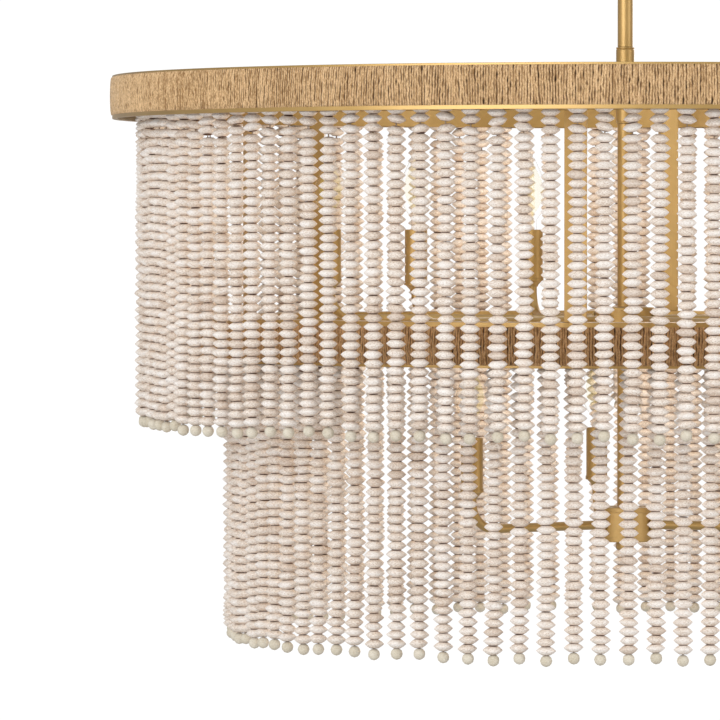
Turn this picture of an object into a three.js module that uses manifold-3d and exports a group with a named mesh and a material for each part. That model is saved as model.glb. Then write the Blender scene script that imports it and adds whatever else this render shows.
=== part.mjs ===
// Beaded two-tier drum chandelier.
// Millimetres, +Z up. The origin is the centre of the ceiling bracket's upper face, and all hangs below it.
// An azimuth is counted from -Y towards +X, and a turned profile's points are [radius, height].

import * as THREE from 'three';
import { mergeVertices } from 'three/addons/utils/BufferGeometryUtils.js';
import Module from 'manifold-3d';

const wasm = await Module();
wasm.setup();

// Clearances
const seat = 0.3; // between two pieces that rest on each other, and round a pin
const overrun = 2; // how far a cutter runs past the face that it cuts
const sink = 0.8; // how far one piece of a weldment reaches into the next

// Counts
const strandsAbove = 120;
const strandsBelow = 96;
const railsAbove = 4;
const railsBelow = 3;
const ribCount = 6;
const lightsAbove = 6;
const lightsBelow = 3;

// Sides of the turned pieces
const hoopSides = 48;
const hubSides = 24;
const stemSides = 16;
const candleSides = 10;
const tubeSides = 8;
const strandSides = 6;
const bendSteps = 5;
const cornerSteps = 3;
const slotSteps = 4;

// Azimuths in degrees
const ribAzimuth = -6.6;
const armAzimuthAbove = -41.4;
const armAzimuthBelow = -51.3;
const strandAzimuthAbove = 0.77;
const strandAzimuthBelow = 0.9;

// Ceiling fitting
const barLength = 110;
const barWidth = 20;
const barThickness = 2.5;
const slotLength = 14;
const slotWidth = 5;
const slotMargin = 7; // bar past a slot's end
const slotSpacing = barLength - slotLength - 2 * slotMargin;
const bossRadius = 9;
const bossHeight = 8;
const canopyDepth = 22;
const canopyWall = 1.5;
const canopyCorner = 8;
const canopyRoom = 6.1; // from the bar's corners to the canopy's wall
const canopyRadius = Math.hypot(barLength, barWidth) / 2 + canopyRoom + canopyWall;
const nutRadius = 12;
const nutHeight = 6;

// Swivel
const shankRadius = 5.1;
const wireBore = 3.3;
const cheekFoot = 6; // thickness of the disc that carries a clevis's two cheeks
const cheekThickness = 3;
const cheekHalfWidth = 5;
const cheekTip = 3; // metal past the pin's hole
const cheekCover = 0.6; // metal of the foot round the cheeks' corners
const blockHalf = 7;
const blockHalfHeight = 5;
const pinRadius = 2.5;
const swingRoom = 5; // from the block's side to a clevis's foot, so that the block can tilt

// Stems and their fittings
const stemRadius = 7.95;
const stemWall = 1.6;
const stemLength = 304.8;
const couplingRadius = 9.5;
const couplingLength = 78.7;
const fittingBore = 5;
const innerStemAbove = 190.3;
const innerStemBelow = 181;
const hubRadius = 31;
const hubHeightAbove = 26;
const hubHeightBelow = 35.7;
const hubLip = 5; // height of the closing cap at each end of the lower hub
const hubLipSetback = 1.2;
const finialRadius = 9.35;
const finialHeight = 9;
const finialCorner = 2;

// Hoops
const hoopRadiusAbove = 533.4; // over the twine
const hoopStep = 90.4; // how far the lower hoop lies inside the upper one
const hoopRadiusBelow = hoopRadiusAbove - hoopStep;
const hoopDrop = 30; // from the coupling's top to the upper hoop's top
const tierDrop = 248.2; // from the upper hoop's top to the lower hoop's top
const hoopHeight = 44.4;
const channelDepth = 48; // from the twine's face to the inner face
const channelSheet = 2;
const twineThickness = 6;
const twineShoulder = 2.2;
const rimSetback = 2.4; // how far the rims lie inside the twine's face
const upperTopRim = 2.5;
const upperBottomRim = 4.5;
const lowerTopRim = 5;
const lowerBottomRim = 3;

// Frame spider
const spiderWall = 20; // from the spider's bore to its rim
const ribThickness = 3;
const spokeHeight = 12;
const spokeDrop = 4; // from the upper hoop's top to the spokes' top
const strapWidth = 22;
const strapInset = 28; // from the lower hoop's twine face to a strap's middle

// Strands
const beadRadius = 9.6;
const strandRoom = 0.7; // from the channel's inner wall to the beads
// From the twine's face to a strand's axis
const strandInset = channelDepth - channelSheet - strandRoom - beadRadius;
const strandDropAbove = 320.7; // from a hoop's underside to the end balls' undersides
const strandDropBelow = 291.2;
const railLipInside = 0.3; // rail past the strands on the side of the hoop's inner wall
const railLipOutside = 2.4;
const railThickness = 3;

// Lights
const lightInsetAbove = 80; // from the lower hoop's inner wall to the upper lights' circle
const lightStep = 116; // how far the lower lights' circle lies inside the upper one
const lightRadiusAbove = hoopRadiusBelow - channelDepth - lightInsetAbove;
const lightRadiusBelow = lightRadiusAbove - lightStep;
const tubeRadius = 4.7;
const bendRadius = 28;
const armRise = 40.5; // from an arm's axis to the top of its cup
const armBossRadius = 8.8;
const armBossLength = 3;
const cupRadius = 12;
const cupRim = 2.5;
const cupHeight = 7;
const cupNeck = 6.2;
const sleeveRadius = 11.25;
const sleeveWall = 0.8;
const sleeveHeight = 53;
const holderRoom = 0.65; // all round, between the sleeve and the holder
const holderRadius = sleeveRadius - sleeveWall - holderRoom;
const holderSetback = 3; // from the sleeve's top down to the holder's
const bulbBaseRadius = 5.95;
const bulbBaseLength = 22;
const threadRoom = 0.45; // all round, between the bulb's base and its socket
const socketRadius = bulbBaseRadius + threadRoom;
const socketFloorRoom = 3; // from the bulb's base to the socket's floor
const socketDepth = bulbBaseLength + socketFloorRoom;
const bulbNeckRadius = 6.3;
const bulbNeckLength = 10.5;
const bulbRadius = 16.8;
const bulbHeight = 80; // from the sleeve's top to the bulb's tip
const bulbRadiusShares = [0.74, 1, 0.97, 0.6, 0.24];
const bulbHeightShares = [0.12, 0.32, 0.48, 0.75, 0.92];

// Finishes
const brushedBrass = { color: 0xb8893f, roughness: 0.32, metalness: 1 };
const zincSteel = { color: 0xa9acb0, roughness: 0.45, metalness: 0.9 };
const juteTwine = { color: 0xc39a62, roughness: 0.95, metalness: 0 };
const whitewashedWood = { color: 0xe3d2c4, roughness: 0.8, metalness: 0 };
const darkPhenolic = { color: 0x2b2421, roughness: 0.55, metalness: 0 };
const clearGlass = { color: 0xfff3d0, roughness: 0.05, metalness: 0 };

// Turns, in radians
const fullTurn = 2 * Math.PI;
const quarterTurn = Math.PI / 2;
const degree = THREE.MathUtils.degToRad;

// Helpers for solids

// The triangles over shared corners, without the flat ones at a turned piece's poles
function toSolid(geometry) {
  const bare = new THREE.BufferGeometry();
  bare.setAttribute('position', geometry.getAttribute('position'));
  bare.setIndex(geometry.index);
  const merged = mergeVertices(bare);
  const index = Array.from(merged.index.array);
  const triVerts = [];
  for (let i = 0; i < index.length; i += 3) {
    const [a, b, c] = index.slice(i, i + 3);
    if (a !== b && b !== c && c !== a) {
      triVerts.push(a, b, c);
    }
  }
  const mesh = new wasm.Mesh({
    numProp: 3,
    vertProperties: new Float32Array(merged.getAttribute('position').array),
    triVerts: new Uint32Array(triVerts),
  });
  return new wasm.Manifold(mesh);
}

function toGeometry(solid) {
  const mesh = solid.getMesh();
  const geometry = new THREE.BufferGeometry();
  geometry.setAttribute('position', new THREE.Float32BufferAttribute(mesh.vertProperties, 3));
  geometry.setIndex(new THREE.Uint32BufferAttribute(mesh.triVerts, 1));
  geometry.computeVertexNormals();
  return geometry;
}

function join(geometries) {
  const solids = geometries.map(toSolid);
  return toGeometry(solids.reduce((whole, solid) => whole.add(solid)));
}

function cut(geometry, cutters) {
  const solids = cutters.map(toSolid);
  return toGeometry(solids.reduce((rest, solid) => rest.subtract(solid), toSolid(geometry)));
}

// Turned about Z, from a profile that runs anticlockwise and starts and ends on the axis
function turned(profile, sides) {
  const points = profile.map(([radius, height]) => new THREE.Vector2(radius, height));
  return new THREE.LatheGeometry(points, sides).rotateX(quarterTurn);
}

// Turned about Z, from a profile that closes on itself clear of the axis
function turnedRing(profile, sides) {
  return turned([...profile, profile[0]], sides);
}

function disc(radius, bottom, top, sides) {
  return turned([[0, bottom], [radius, bottom], [radius, top], [0, top]], sides);
}

function tube(outer, bore, bottom, top, sides) {
  return turnedRing([[bore, bottom], [outer, bottom], [outer, top], [bore, top]], sides);
}

function prism(radius, bottom, top, sides) {
  const corners = [];
  for (let index = 0; index < sides; index += 1) {
    const angle = (fullTurn * index) / sides;
    corners.push(new THREE.Vector2(radius * Math.cos(angle), radius * Math.sin(angle)));
  }
  const column = new THREE.ExtrudeGeometry(new THREE.Shape(corners), {
    depth: top - bottom,
    bevelEnabled: false,
  });
  return column.translate(0, 0, bottom);
}

function block(low, high) {
  const size = high.map((value, axis) => value - low[axis]);
  const middle = high.map((value, axis) => (value + low[axis]) / 2);
  return new THREE.BoxGeometry(...size).translate(...middle);
}

// A round corner of a profile, from one angle to another about its centre
function corner(radius, height, bend, from, to) {
  const points = [];
  for (let step = 0; step <= cornerSteps; step += 1) {
    const angle = from + ((to - from) * step) / cornerSteps;
    points.push([radius + bend * Math.cos(angle), height + bend * Math.sin(angle)]);
  }
  return points;
}

// How far from its axis the flat side of a turned piece lies, at an angle from one of its corners
function flatRadius(radius, sides, angle) {
  const side = fullTurn / sides;
  const within = THREE.MathUtils.euclideanModulo(angle, side);
  return (radius * Math.cos(side / 2)) / Math.cos(within - side / 2);
}

function piece(name, geometry, finish) {
  const mesh = new THREE.Mesh(geometry, new THREE.MeshStandardMaterial(finish));
  mesh.name = name;
  return mesh;
}

// Heights of the ceiling fitting and the stems, from the ceiling down
const nutTop = -canopyDepth - seat;
const nutBottom = nutTop - nutHeight;
const swivelTop = nutBottom - seat;
const pivotReach = blockHalf + swingRoom;
const pivot = swivelTop - cheekFoot - pivotReach;
const stemTop = pivot - pivotReach - cheekFoot;
const couplingTop = stemTop - stemLength;
const couplingBottom = couplingTop - couplingLength;
const upperHubTop = couplingBottom - innerStemAbove;
const upperHubBottom = upperHubTop - hubHeightAbove;
const lowerHubTop = upperHubBottom - innerStemBelow;
const lowerHubBottom = lowerHubTop - hubHeightBelow;
const upperHoopTop = couplingTop - hoopDrop;
const lowerHoopTop = upperHoopTop - tierDrop;
const spokeTop = upperHoopTop - spokeDrop;
const spokeBottom = spokeTop - spokeHeight;

// Sizes that follow from the swivel block
const cheekInner = blockHalf + seat;
const cheekOuter = cheekInner + cheekThickness;
const cheekEnd = pinRadius + seat + cheekTip;
const swivelRadius = Math.hypot(cheekOuter, cheekHalfWidth) + cheekCover;

const chandelier = new THREE.Group();
const hanging = new THREE.Group();
chandelier.add(hanging);

// Ceiling bracket: a flat bar with two screw slots and a boss that takes the swivel's shank

function slotPath(middle) {
  const end = (slotLength - slotWidth) / 2;
  const path = new THREE.Path();
  path.absarc(middle - end, 0, slotWidth / 2, quarterTurn, -quarterTurn, false);
  path.absarc(middle + end, 0, slotWidth / 2, -quarterTurn, quarterTurn, false);
  return path;
}

function ceilingBracket() {
  const outline = new THREE.Shape();
  outline.moveTo(-barLength / 2, -barWidth / 2);
  outline.lineTo(barLength / 2, -barWidth / 2);
  outline.lineTo(barLength / 2, barWidth / 2);
  outline.lineTo(-barLength / 2, barWidth / 2);
  outline.closePath();
  outline.holes.push(slotPath(-slotSpacing / 2), slotPath(slotSpacing / 2));
  const bar = new THREE.ExtrudeGeometry(outline, {
    depth: barThickness,
    bevelEnabled: false,
    curveSegments: slotSteps,
  }).translate(0, 0, -barThickness);
  const bossBottom = -barThickness - bossHeight;
  const boss = tube(bossRadius, shankRadius + seat, bossBottom, sink - barThickness, stemSides);
  return join([bar, boss]);
}

// Canopy: a spun cup with a round corner and a hole for the shank

function canopy() {
  const bendAxis = canopyRadius - canopyCorner;
  const bendHeight = canopyCorner - canopyDepth;
  const outer = corner(bendAxis, bendHeight, canopyCorner, -quarterTurn, 0);
  const inner = corner(bendAxis, bendHeight, canopyCorner - canopyWall, 0, -quarterTurn);
  return turnedRing([
    [shankRadius + seat, -canopyDepth],
    ...outer,
    [canopyRadius, 0],
    [canopyRadius - canopyWall, 0],
    ...inner,
    [shankRadius + seat, canopyWall - canopyDepth],
  ], hubSides);
}

// Swivel: a cross block between two clevises

function cheeks(near, far) {
  return [-1, 1].map((side) => {
    const middle = (side * (cheekInner + cheekOuter)) / 2;
    const half = cheekThickness / 2;
    return block([middle - half, -cheekHalfWidth, near], [middle + half, cheekHalfWidth, far]);
  });
}

function pinAlongX(radius, halfLength) {
  return disc(radius, -halfLength, halfLength, stemSides).rotateY(quarterTurn);
}

// The upper clevis, drawn about the pivot, with its shank up through the canopy
function swivelSocket() {
  const shankTop = -barThickness - seat - pivot;
  const body = turnedRing([
    [wireBore, pivotReach],
    [swivelRadius, pivotReach],
    [swivelRadius, pivotReach + cheekFoot],
    [shankRadius, pivotReach + cheekFoot],
    [shankRadius, shankTop],
    [wireBore, shankTop],
  ], stemSides);
  const clevis = join([body, ...cheeks(-cheekEnd, pivotReach + sink)]);
  return cut(clevis, [pinAlongX(pinRadius + seat, cheekOuter + overrun)]);
}

function swivelBlock() {
  const middle = block([-blockHalf, -blockHalf, -blockHalfHeight], [blockHalf, blockHalf, blockHalfHeight]);
  const pin = pinAlongX(pinRadius, cheekOuter);
  return join([middle, pin, pin.clone().rotateZ(quarterTurn)]);
}

// The lower clevis, drawn about the pivot and turned a quarter, with the long stem under it
function ceilingStem() {
  const foot = -pivotReach - cheekFoot;
  const body = turnedRing([
    [stemRadius - stemWall, couplingTop + seat - pivot],
    [stemRadius, couplingTop + seat - pivot],
    [stemRadius, foot],
    [swivelRadius, foot],
    [swivelRadius, -pivotReach],
    [stemRadius - stemWall, -pivotReach],
  ], stemSides);
  const clevis = join([body, ...cheeks(-pivotReach - sink, cheekEnd)]);
  return cut(clevis, [pinAlongX(pinRadius + seat, cheekOuter + overrun)]).rotateZ(quarterTurn);
}

chandelier.add(piece('ceiling_bracket', ceilingBracket(), zincSteel));
chandelier.add(piece('canopy', canopy(), brushedBrass));
const ringNut = tube(nutRadius, shankRadius + seat, nutBottom, nutTop, stemSides);
chandelier.add(piece('canopy_ring_nut', ringNut, brushedBrass));

const swivel = new THREE.Group();
swivel.position.z = pivot;
swivel.add(piece('swivel_socket', swivelSocket(), brushedBrass));
swivel.add(piece('swivel_block', swivelBlock(), brushedBrass));
swivel.add(piece('ceiling_stem', ceilingStem(), brushedBrass));
chandelier.add(swivel);

// Stem line under the ceiling stem: coupling, inner stems, hubs and finial

function innerStem(top, bottom) {
  return tube(stemRadius, stemRadius - stemWall, bottom + seat, top - seat, stemSides);
}

function lowerHub() {
  const neck = hubRadius - hubLipSetback;
  return turnedRing([
    [fittingBore, lowerHubBottom],
    [neck, lowerHubBottom],
    [neck, lowerHubBottom + hubLip],
    [hubRadius, lowerHubBottom + hubLip],
    [hubRadius, lowerHubTop - hubLip],
    [neck, lowerHubTop - hubLip],
    [neck, lowerHubTop],
    [fittingBore, lowerHubTop],
  ], hubSides);
}

function finial() {
  const top = lowerHubBottom - seat;
  const bottom = top - finialHeight;
  return turned([
    [0, bottom],
    ...corner(finialRadius - finialCorner, bottom + finialCorner, finialCorner, -quarterTurn, 0),
    [finialRadius, top],
    [0, top],
  ], stemSides);
}

const coupling = tube(couplingRadius, fittingBore, couplingBottom, couplingTop, stemSides);
hanging.add(piece('stem_coupling', coupling, brushedBrass));
hanging.add(piece('inner_stem_upper', innerStem(couplingBottom, upperHubTop), brushedBrass));
const upperHub = tube(hubRadius, fittingBore, upperHubBottom, upperHubTop, hubSides);
hanging.add(piece('upper_hub', upperHub, brushedBrass));
hanging.add(piece('inner_stem_lower', innerStem(upperHubBottom, lowerHubTop), brushedBrass));
hanging.add(piece('lower_hub', lowerHub(), brushedBrass));
hanging.add(piece('finial', finial(), brushedBrass));

// Hoops: an inverted channel whose outer face carries a band wound with twine between two rims

const tiers = [
  {
    name: 'upper',
    radius: hoopRadiusAbove,
    top: upperHoopTop,
    topRim: upperTopRim,
    bottomRim: upperBottomRim,
    strands: strandsAbove,
    rails: railsAbove,
    azimuth: strandAzimuthAbove,
    drop: strandDropAbove,
  },
  {
    name: 'lower',
    radius: hoopRadiusBelow,
    top: lowerHoopTop,
    topRim: lowerTopRim,
    bottomRim: lowerBottomRim,
    strands: strandsBelow,
    rails: railsBelow,
    azimuth: strandAzimuthBelow,
    drop: strandDropBelow,
  },
];

// Midway between two strands, so that no strand stands on a joint between two rails
function tierTurn(tier) {
  return degree(tier.azimuth) - fullTurn / tier.strands / 2;
}

function hoopChannel(tier) {
  const inner = tier.radius - channelDepth;
  const web = tier.radius - twineThickness - seat;
  const rim = tier.radius - rimSetback;
  return turnedRing([
    [inner, -hoopHeight],
    [inner + channelSheet, -hoopHeight],
    [inner + channelSheet, -channelSheet],
    [web - channelSheet, -channelSheet],
    [web - channelSheet, -hoopHeight],
    [rim, -hoopHeight],
    [rim, tier.bottomRim - hoopHeight],
    [web, tier.bottomRim - hoopHeight],
    [web, -tier.topRim],
    [rim, -tier.topRim],
    [rim, 0],
    [inner, 0],
  ], hoopSides);
}

function hoopTwine(tier) {
  const inner = tier.radius - twineThickness;
  const shoulder = tier.radius - twineShoulder;
  const bottom = tier.bottomRim + seat - hoopHeight;
  const top = -tier.topRim - seat;
  return turnedRing([
    [inner, bottom],
    [shoulder, bottom],
    [tier.radius, bottom + twineShoulder],
    [tier.radius, top - twineShoulder],
    [shoulder, top],
    [inner, top],
  ], hoopSides);
}

// Strands: each rail is an arc of flat bar under the channel's top, with its strands hanging from it

function strandRail(tier) {
  const axis = tier.radius - strandInset;
  const sweep = fullTurn / tier.rails;
  const chords = Math.round(hoopSides / tier.rails);
  const trim = seat / 2 / axis;
  const angles = [trim];
  for (let chord = 1; chord < chords; chord += 1) {
    angles.push((sweep * chord) / chords);
  }
  angles.push(sweep - trim);
  const at = (radius, angle) => new THREE.Vector2(radius * Math.sin(angle), -radius * Math.cos(angle));
  const outer = angles.map((angle) => at(axis + beadRadius + railLipOutside, angle));
  const inner = angles.map((angle) => at(axis - beadRadius - railLipInside, angle)).reverse();
  const bar = new THREE.ExtrudeGeometry(new THREE.Shape([...outer, ...inner]), {
    depth: railThickness,
    bevelEnabled: false,
  });
  return bar.translate(0, 0, -channelSheet - seat - railThickness);
}

function strandSector(tier) {
  const axis = tier.radius - strandInset;
  const top = -channelSheet - seat - railThickness / 2;
  const bottom = -hoopHeight - tier.drop;
  const perRail = tier.strands / tier.rails;
  const strands = [];
  for (let strand = 0; strand < perRail; strand += 1) {
    const angle = (fullTurn * (strand + 1 / 2)) / tier.strands;
    const rod = prism(beadRadius, bottom, top, strandSides).translate(0, -axis, 0);
    strands.push(rod.rotateZ(angle));
  }
  return join([strandRail(tier), ...strands]);
}

for (const tier of tiers) {
  const group = new THREE.Group();
  group.position.z = tier.top;
  group.rotation.z = tierTurn(tier);
  group.add(piece(`${tier.name}_hoop_channel`, hoopChannel(tier), brushedBrass));
  group.add(piece(`${tier.name}_hoop_twine`, hoopTwine(tier), juteTwine));
  const sector = strandSector(tier);
  for (let rail = 0; rail < tier.rails; rail += 1) {
    const strands = piece(`${tier.name}_strands_${rail + 1}`, sector.clone(), whitewashedWood);
    strands.rotation.z = (fullTurn * rail) / tier.rails;
    group.add(strands);
  }
  hanging.add(group);
}

// Frame spider: six flat spokes from the hub to the upper hoop, each with a strap down to the lower hoop

function rib(azimuth, bore) {
  const [above, below] = tiers;
  const wall = flatRadius(above.radius - channelDepth, hoopSides, azimuth - tierTurn(above));
  const root = bore + spiderWall / 2;
  const end = wall - seat;
  const strapMiddle = below.radius - strapInset;
  const half = ribThickness / 2;
  const spoke = block([-half, -end, spokeBottom], [half, -root, spokeTop]);
  const strapLow = [-strapWidth / 2, -strapMiddle - half, lowerHoopTop + seat];
  const strapHigh = [strapWidth / 2, -strapMiddle + half, spokeTop];
  return join([spoke, block(strapLow, strapHigh)]).rotateZ(azimuth);
}

function frameSpider() {
  const bore = couplingRadius + seat;
  const hub = tube(bore + spiderWall, bore, spokeBottom, spokeTop, stemSides);
  const ribs = [];
  for (let index = 0; index < ribCount; index += 1) {
    ribs.push(rib(degree(ribAzimuth) + (fullTurn * index) / ribCount, bore));
  }
  return join([hub, ...ribs]);
}

hanging.add(piece('frame_spider', frameSpider(), brushedBrass));

// Lights: a bent arm with a boss at the hub and a cup under the candle, a lamp holder, a sleeve and a bulb

// An arm's centre line out along -Y and up, with stations at its bend and at its two ends only
class ArmLine extends THREE.Curve {
  constructor(start, reach, rise) {
    super();
    this.start = start;
    this.reach = reach;
    this.rise = rise;
  }

  getPoint(share) {
    const station = share * (bendSteps + 2);
    const bendStart = this.reach - bendRadius;
    if (station < 1) {
      return new THREE.Vector3(0, -THREE.MathUtils.lerp(this.start, bendStart, station), 0);
    }
    if (station > bendSteps + 1) {
      const height = THREE.MathUtils.lerp(bendRadius, this.rise, station - bendSteps - 1);
      return new THREE.Vector3(0, -this.reach, height);
    }
    const angle = (quarterTurn * (station - 1)) / bendSteps;
    const out = bendStart + bendRadius * Math.sin(angle);
    return new THREE.Vector3(0, -out, bendRadius * (1 - Math.cos(angle)));
  }

  getUtoTmapping(share) {
    return share;
  }
}

function arm(reach) {
  const start = hubRadius + seat;
  const cupBottom = armRise - cupHeight;
  const section = new THREE.Shape();
  section.absarc(0, 0, tubeRadius, 0, fullTurn, false);
  const pipe = new THREE.ExtrudeGeometry(section, {
    steps: bendSteps + 2,
    curveSegments: tubeSides / 2,
    bevelEnabled: false,
    extrudePath: new ArmLine(start, reach, cupBottom + sink),
  });
  const boss = disc(armBossRadius, start, start + armBossLength, candleSides).rotateX(quarterTurn);
  const cup = turned([
    [0, cupBottom],
    [cupNeck, cupBottom],
    [cupRadius, armRise - cupRim],
    [cupRadius, armRise],
    [0, armRise],
  ], candleSides).translate(0, -reach, 0);
  return join([pipe, boss, cup]);
}

// Turned about the candle's axis, from the cup's top
function lampHolder() {
  const top = sleeveHeight - holderSetback;
  return turned([
    [0, seat],
    [holderRadius, seat],
    [holderRadius, top],
    [socketRadius, top],
    [socketRadius, top - socketDepth],
    [0, top - socketDepth],
  ], candleSides);
}

function candleSleeve() {
  return tube(sleeveRadius, sleeveRadius - sleeveWall, seat, sleeveHeight, candleSides);
}

function bulb() {
  const base = sleeveHeight - holderSetback - bulbBaseLength;
  const glass = bulbHeight - bulbNeckLength;
  const neck = sleeveHeight + bulbNeckLength;
  const body = bulbRadiusShares.map((share, index) => [
    share * bulbRadius, neck + bulbHeightShares[index] * glass,
  ]);
  return turned([
    [0, base],
    [bulbBaseRadius, base],
    [bulbBaseRadius, sleeveHeight],
    [bulbNeckRadius, sleeveHeight],
    [bulbNeckRadius, neck],
    ...body,
    [0, sleeveHeight + bulbHeight],
  ], candleSides);
}

const clusters = [
  {
    name: 'upper',
    count: lightsAbove,
    reach: lightRadiusAbove,
    azimuth: armAzimuthAbove,
    height: (upperHubTop + upperHubBottom) / 2,
  },
  {
    name: 'lower',
    count: lightsBelow,
    reach: lightRadiusBelow,
    azimuth: armAzimuthBelow,
    height: (lowerHubTop + lowerHubBottom) / 2,
  },
];

for (const cluster of clusters) {
  for (let index = 0; index < cluster.count; index += 1) {
    const light = new THREE.Group();
    light.position.z = cluster.height;
    light.rotation.z = degree(cluster.azimuth) + (fullTurn * index) / cluster.count;
    light.add(piece(`${cluster.name}_arm_${index + 1}`, arm(cluster.reach), brushedBrass));
    const candle = new THREE.Group();
    candle.position.set(0, -cluster.reach, armRise);
    candle.add(piece(`${cluster.name}_lamp_holder_${index + 1}`, lampHolder(), darkPhenolic));
    candle.add(piece(`${cluster.name}_candle_sleeve_${index + 1}`, candleSleeve(), brushedBrass));
    candle.add(piece(`${cluster.name}_bulb_${index + 1}`, bulb(), clearGlass));
    light.add(candle);
    hanging.add(light);
  }
}

export default chandelier;
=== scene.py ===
"""Beaded two-tier drum chandelier: the finishes and the fine surfaces over its frame. Metres, +Z up."""

import math
import random

import bmesh
import bpy
from mathutils import Matrix, Vector


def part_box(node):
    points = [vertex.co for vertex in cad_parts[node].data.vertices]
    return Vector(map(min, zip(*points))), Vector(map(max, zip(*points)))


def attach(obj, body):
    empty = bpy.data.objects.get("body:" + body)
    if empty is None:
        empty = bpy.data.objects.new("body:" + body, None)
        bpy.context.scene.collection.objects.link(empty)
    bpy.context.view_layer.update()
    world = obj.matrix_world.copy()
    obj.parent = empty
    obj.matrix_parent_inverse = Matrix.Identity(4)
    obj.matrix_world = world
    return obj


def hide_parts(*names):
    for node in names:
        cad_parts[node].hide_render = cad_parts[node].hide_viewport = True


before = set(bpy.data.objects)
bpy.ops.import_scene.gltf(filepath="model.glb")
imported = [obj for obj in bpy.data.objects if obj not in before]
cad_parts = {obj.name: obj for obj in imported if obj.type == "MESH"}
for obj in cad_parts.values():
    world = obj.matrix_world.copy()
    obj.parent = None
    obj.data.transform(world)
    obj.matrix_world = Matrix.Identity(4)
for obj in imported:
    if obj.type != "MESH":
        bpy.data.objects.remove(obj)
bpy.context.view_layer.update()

# Units
MM = 0.001
TURN = math.tau
QUARTER = math.pi / 2
DEGREE = math.pi / 180

# Counts
RAILS = {"upper": 4, "lower": 3}
STRANDS = {"upper": 120, "lower": 96}
LIGHTS = {"upper": 6, "lower": 3}
SPOKES = 6

# Steps round the turned pieces
HOOP_STEPS = 180
RAIL_STEPS = HOOP_STEPS // 4
CANOPY_STEPS = 96
HUB_STEPS = 64
STEM_STEPS = 40
CANDLE_STEPS = 32
HALO_STEPS = 20
WIRE_STEPS = 12
TUBE_SIDES = 14
ROD_SIDES = 6
BEND_STEPS = 12
CORNER_STEPS = 6

# Beads, balls and their cords
BEAD_SIDES = 12
BEAD_RADIUS = 9.6 * MM
BEAD_PITCH = 8.66 * MM
BEAD_PROFILE_SHARES = [
    (0.42, 0.497), (0.73, 0.29), (0.99, 0.03), (0.99, -0.03), (0.73, -0.29), (0.42, -0.497),
]
BEAD_SIZE_SHARE = 0.028
BEAD_PITCH_SHARE = 0.028
BEAD_TILT = 2.2 * DEGREE
BEAD_SHIFT = 0.35 * MM
ROW_SHIFT = 1.3 * MM
LOOSE_BEADS = 2
LOOSE_ROWS = 2.2
LOOSE_TILT = 14 * DEGREE
LOOSE_GAP = 3.2 * MM
LOOSE_GAP_SHARES = (0.3, 1)
BALL_RADIUS = 6 * MM
BALL_TO_BEAD = 9.6 * MM
BALL_GAP = 1.2 * MM
BALL_TONE_SHARE = 0.8
STRAND_LIFT = 4.5 * MM
STRAND_LEAN = 0.0015
CORD_RADIUS = 0.75 * MM
CORD_SIDES = 6
CORD_TONE = 0.5
RAIL_LIP = 0.3 * MM
RAIL_THICKNESS = 3 * MM

# Twine
TWINE_RADIUS = 1.42 * MM
TWINE_PITCH = 2.7 * MM
TWINE_SIDES = 5
TWINE_RINGS = 13
TWINE_PATTERNS = 12
TWINE_WAVE = 0.34 * MM
TWINE_WAVELENGTHS = (11 * MM, 27 * MM)
TWINE_TWIST = 4.6 * MM
PLY_REACH = 2.4
TWINE_SLANT = 1.5 * DEGREE
TWINE_SLANT_KEPT_SHARE = 0.90
TWINE_SLANT_SHARES = {"drift": 4, "jitter": 1 / 4}
TWINE_THICK_SHARES = (0.80, 1.15)
TWINE_STEP_SHARE = 0.1
TWINE_TONE = (0.5, 0.22)
TWINE_SINK = 0.35 * MM
TWINE_BULGE = 2.4 * MM
TWINE_LAYER = 2.2 * MM
TWINE_TUCK = 4.4 * MM
TWINE_TUCK_TURN = 110 * DEGREE
TWINE_FLAT_POWER = 0.33
TWINE_SPREAD_POWER = 1.35

# Metalwork
EDGE = 0.4 * MM
FINE_EDGE = 0.2 * MM
SEAT = 0.3 * MM
SINK = 0.8 * MM
SHARP_ANGLE = 35 * DEGREE
CRISP_ANGLE = 50 * DEGREE
SAME_PLACE = 0.001 * MM

# Ceiling fitting
CHEEK_SIDES = 32
CHEEK_HALF_WIDTH = 5 * MM
CHEEK_THICKNESS = 3 * MM
CHEEK_INNER = 7.3 * MM
CHEEK_END = 5.8 * MM
CHEEK_COVER = 0.6 * MM
PIN_RADIUS = 2.5 * MM
PIVOT_REACH = 12 * MM
CLEVIS_FOOT = 6 * MM
WIRE_BORE = 3.3 * MM
SHANK_RADIUS = 5.1 * MM
STEM_RADIUS = 7.95 * MM
STEM_WALL = 1.6 * MM

# Frame spider
SPOKE_AZIMUTH = -6.6 * DEGREE
SPOKE_HEIGHT = 12 * MM
STRAP_INSET = 28 * MM
HUB_WALL = 20 * MM

# Lamps
SLEEVE_RADIUS = 11.25 * MM
SLEEVE_WALL = 0.8 * MM
BULB_NECK = 4.8 * MM
BULB_NECK_LENGTH = 10.8 * MM
BULB_RADIUS = 16.8 * MM
BULB_SEAT = 4 * MM
LAMP_DROP_SHARE = 0.45
GLOW = {"colour": (1.0, 0.79, 0.57), "watts": 0.44, "radius": 24 * MM}
GLEAM = {"colour": (1.0, 0.86, 0.62), "watts": 0.10, "radius": 14 * MM}

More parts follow.
